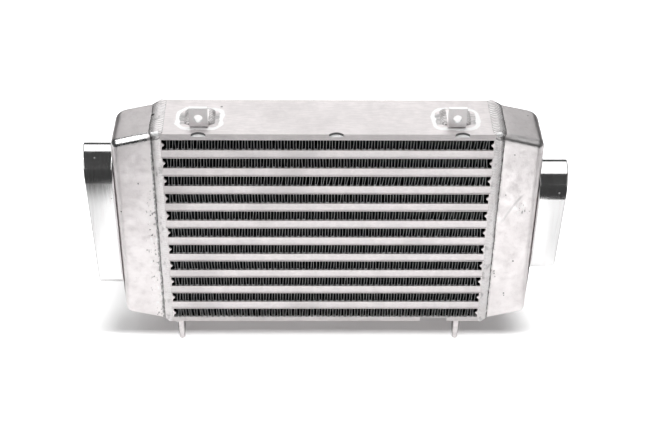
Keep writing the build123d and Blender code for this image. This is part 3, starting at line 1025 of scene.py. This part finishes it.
def pin_metal():
    """Turned rod with rings, painted dark towards its flanks as shade."""
    g = Graph("pin_turned")
    rings = g.noise(2200, 2, 0.6, g.stretched(0.05, 0.05, 1))
    cloud = g.noise(260, 3, 0.6)
    colour = g.blend(cloud, 0.72, 0.88)
    # painted shade on the pin's flanks
    offset = [g.size(g.less(g.axis("X"), x * MM)) for x in PIN_PLACES]
    flank_shade = g.span_mm(g.math("MINIMUM", *offset), 1.5, 3.0)
    colour = g.mix(flank_shade, colour, grey(0.12))
    return g.metal(colour, g.span(rings, 0.3, 0.7, 0.3, 0.42), (rings, 0.3, 0.08), (cloud, 0.25, 0.3))


# ---- the part's pieces
FIN = fin_metal()
CAST = cast_metal()
BAR = bar_metal()
PLATE = plate_metal()
WELD = weld_metal("weld_bead", 0.7)
LUG_WELD = weld_metal("lug_weld_bead", 0.2)
DROP = drop_metal()

# Nodes that keep their form, by the end of the name: name ending, bevel in mm, metal, slot
DRESSED = {
    "charge_tube": ("_bars", 0.05, BAR, "bar_aluminium"),
    "end_bars": ("_pair", 0.05, BAR, "bar_aluminium"),
    "side_plate": ("_sheet", 0.04, PLATE, "plate_aluminium"),
    "_lug": ("_tab", 0.15, lug_metal(), "lug_aluminium"),
    "_pins": ("_studs", 0.25, pin_metal(), "pin_aluminium"),
}

for node_name, node_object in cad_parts.items():
    kind = node_name.rstrip("_0123456789")
    if kind == "turbulator":
        node_object.data.materials.clear()
        node_object.data.materials.append(FIN)
    elif kind == "ambient_fin":
        build_fin(int(node_name[-2:]), FIN)
    for ending, (added, bevel, metal, slot) in DRESSED.items():
        if kind.endswith(ending):
            new_piece(node_name + added, edged_copy(node_name, bevel), metal, [node_name])

for tank_side, tank_seed in (("left", 1.0), ("right", 2.0)):
    build_tank(tank_side, CAST)
    build_tank_weld(tank_side, WELD, tank_seed)
    build_lug_weld(tank_side, LUG_WELD, tank_seed + 5)
build_lump("left_pin_tack", (PIN_PLACES[0] - 3.4, FRONT + 2.4, BOTTOM + 0.2),
           (1.5, 2.6, 3.0), -24, WELD)
build_lump("left_corner_lump", (-CORE_END + 0.4, FRONT + 1.4, TOP - 0.6), (3.5, 2.6, 1.6), 0, DROP)
build_lump("right_corner_lump", (CORE_END - 0.8, FRONT + 1.4, TOP - 0.7), (3.0, 2.4, 1.7), 0, DROP)

# ---- the studio
# The floor in mm: a strip wide to both sides, with an apron in front
FLOOR_FRONT = -228
FLOOR_OUTLINE = ((-1500, FLOOR_FRONT), (-205, FLOOR_FRONT), (-205, -520), (225, -520),
                 (225, FLOOR_FRONT), (1500, FLOOR_FRONT), (1500, 760), (-1500, 760))
FLOOR_TONE = 0.9
# How bright the camera finds the floor outside the shadow's zone, which is in mm
FLOOR_CAMERA_LIFT = 0.9
SHADOW_MIDDLE = (-12.0, 45.0)
SHADOW_HALF = (160.0, 37.0)
SHADOW_FADE = (60.0, 12.0)
# How bright metal finds the floor between two depths, what is added on the right, and
# the share left beyond the tanks
GLOSS_DEPTHS = (-230, -130)
GLOSS_LIFT = (0.49, 0.48)
RIGHT_GLOSS_LIFT = (1.05, -0.04)
RIGHT_GLOSS_X = (110, 190)
SPIGOT_GLOSS_X = (205, 222)
SPIGOT_GLOSS_SHARE = 0.2
# Metal finds the left part of the floor's front edge darker
EDGE_DEPTH = 28
EDGE_X = (-215, -205)
EDGE_DIM = 0.9
EDGE_TONE = 0.05


def floor_white():
    """Pale matt floor that shines for camera and metal, but not where the shadow falls."""
    g = Graph("floor_white")
    path = g.node("LightPath").outputs
    edge = g.times(g.along("Y", FLOOR_FRONT, FLOOR_FRONT + EDGE_DEPTH, EDGE_DIM, 0.0),
                   g.along("X", *EDGE_X, 1.0, 0.0), path["Is Glossy Ray"])
    matt = g.node("BsdfDiffuse", [g.mix(edge, grey(FLOOR_TONE), grey(EDGE_TONE))])
    offset = g.vector("ABSOLUTE", g.vector("SUBTRACT", g.place, in_mm(*SHADOW_MIDDLE, PIN_TIP)))
    past = g.vector("SUBTRACT", offset, in_mm(*SHADOW_HALF, 0))
    past = g.vector("DIVIDE", past, (SHADOW_FADE[0] * MM, SHADOW_FADE[1] * MM, 1))
    away = g.vector("LENGTH", g.vector("MAXIMUM", past, (0, 0, 0)))
    seen = g.times(path["Is Camera Ray"], g.span(away, 0.0, 1.0, 0.0, FLOOR_CAMERA_LIFT))
    right = g.times(g.along("Y", *GLOSS_DEPTHS, *RIGHT_GLOSS_LIFT), g.along("X", *RIGHT_GLOSS_X))
    lift = g.times(g.math("ADD", g.along("Y", *GLOSS_DEPTHS, *GLOSS_LIFT), right),
                   g.span_mm(g.size(g.axis("X")), *SPIGOT_GLOSS_X, 1.0, SPIGOT_GLOSS_SHARE),
                   g.span(away, 0.0, 1.0))
    mirrored = g.times(g.most(path["Is Glossy Ray"], path["Is Transmission Ray"]), lift)
    glow = g.node("Emission", Strength=g.most(seen, mirrored))
    return g.finish(g.node("AddShader", [matt.outputs[0], glow.outputs[0]]))


def build_floor():
    """One flat face under the pins."""
    work = bmesh.new()
    work.faces.new([work.verts.new(Vector(in_mm(x, y, PIN_TIP))) for x, y in FLOOR_OUTLINE])
    mesh = bpy.data.meshes.new("floor_shape")
    work.to_mesh(mesh)
    work.free()
    mesh.materials.append(floor_white())
    floor = bpy.data.objects.new("studio_floor", mesh)
    bpy.context.scene.collection.objects.link(floor)


AMBIENT = 0.096
STUDIO_DARK = 0.048
STUDIO_BACKDROP = 0.8
# Where the backdrop begins and is full: downwards, and towards the back
BACKDROP_DOWN = (-0.05, -0.3)
BACKDROP_BACK = (-0.1, 0.3)


def studio_world():
    """White for the camera; a dim room with a white backdrop low behind for metal."""
    g = Graph("studio", bpy.data.worlds, "World", "Generated")
    path = g.node("LightPath").outputs
    backdrop = g.times(g.span(g.axis("Z"), *BACKDROP_DOWN), g.span(g.axis("Y"), *BACKDROP_BACK))
    room = g.span(backdrop, 0.0, 1.0, STUDIO_DARK, STUDIO_BACKDROP, shape="LINEAR")
    ambient = g.between(path["Is Diffuse Ray"], room, AMBIENT)
    return g.finish(g.node("Background", [WHITE, g.most(path["Is Camera Ray"], ambient)]))


SOFTBOX_DISTANCE = 1600.0


def softbox(name, azimuth, elevation, size, radiance, along=None):
    """Area lamp aimed at the part, in mm and degrees; azimuth runs from the back towards
    +X, and the width runs level or as nearly as it can along the given way."""
    turn, tilt = math.radians(azimuth), math.radians(elevation)
    way = Vector((math.sin(turn) * math.cos(tilt), math.cos(turn) * math.cos(tilt), math.sin(tilt)))
    across = (Vector(along) if along else Vector((0, 0, 1)).cross(way)).normalized()
    across = (across - way * across.dot(way)).normalized()
    data = bpy.data.lights.new(name, "AREA")
    data.shape = "RECTANGLE"
    data.size, data.size_y = size[0] * MM, size[1] * MM
    data.energy = radiance * math.pi * data.size * data.size_y
    lamp = bpy.data.objects.new(name, data)
    turned = Matrix((across, way.cross(across), way)).transposed().to_4x4()
    lamp.matrix_world = Matrix.Translation((CENTRE + way * SOFTBOX_DISTANCE) * MM) @ turned
    bpy.context.scene.collection.objects.link(lamp)
    return lamp


def build_lamps():
    """Softboxes that the metal mirrors, and a fill that it doesn't."""
    softbox("back_softbox", 0, 42, (1500, 1450), 1.15)
    softbox("top_right_softbox", 59, 70, (600, 750), 1.5, along=(1, 0, 0))
    softbox("left_strip_high", 278.2, 55.8, (1000, 400), 2.2, along=(0.02, 0.96, -0.08))
    softbox("left_strip_low", 227.1, 44.3, (1300, 400), 2.3, along=(-0.12, 0.82, 0.5))
    softbox("right_strip_low", 132.9, 44.3, (1300, 400), 0.8, along=(0.12, 0.82, 0.5))
    fill = softbox("overhead_fill", 0, 86, (1200, 1200), 3.1, along=(1, 0, 0))
    fill.visible_glossy = False


# Camera fitted to the edges of the core, in mm and degrees
CAMERA_PLACE = Vector((-17.5, -905.4, 583.6))
CAMERA_YAW = -1.01
CAMERA_TILT = 53.16
CAMERA_ROLL = 0.66
LENS = 76.52
SENSOR = 36.0


def build_camera():
    data = bpy.data.cameras.new("camera")
    data.lens = LENS
    data.sensor_width = SENSOR
    data.sensor_fit = "HORIZONTAL"
    data.clip_start = 0.01
    camera = bpy.data.objects.new("camera", data)
    place = Matrix.Translation(CAMERA_PLACE * MM)
    for degrees, axis in ((CAMERA_YAW, "Z"), (CAMERA_TILT, "X"), (CAMERA_ROLL, "Z")):
        place = place @ Matrix.Rotation(math.radians(degrees), 4, axis)
    camera.matrix_world = place
    bpy.context.scene.collection.objects.link(camera)
    bpy.context.scene.camera = camera


build_floor()
bpy.context.scene.world = studio_world()
build_lamps()
build_camera()
bpy.context.scene.view_settings.view_transform = "Standard"
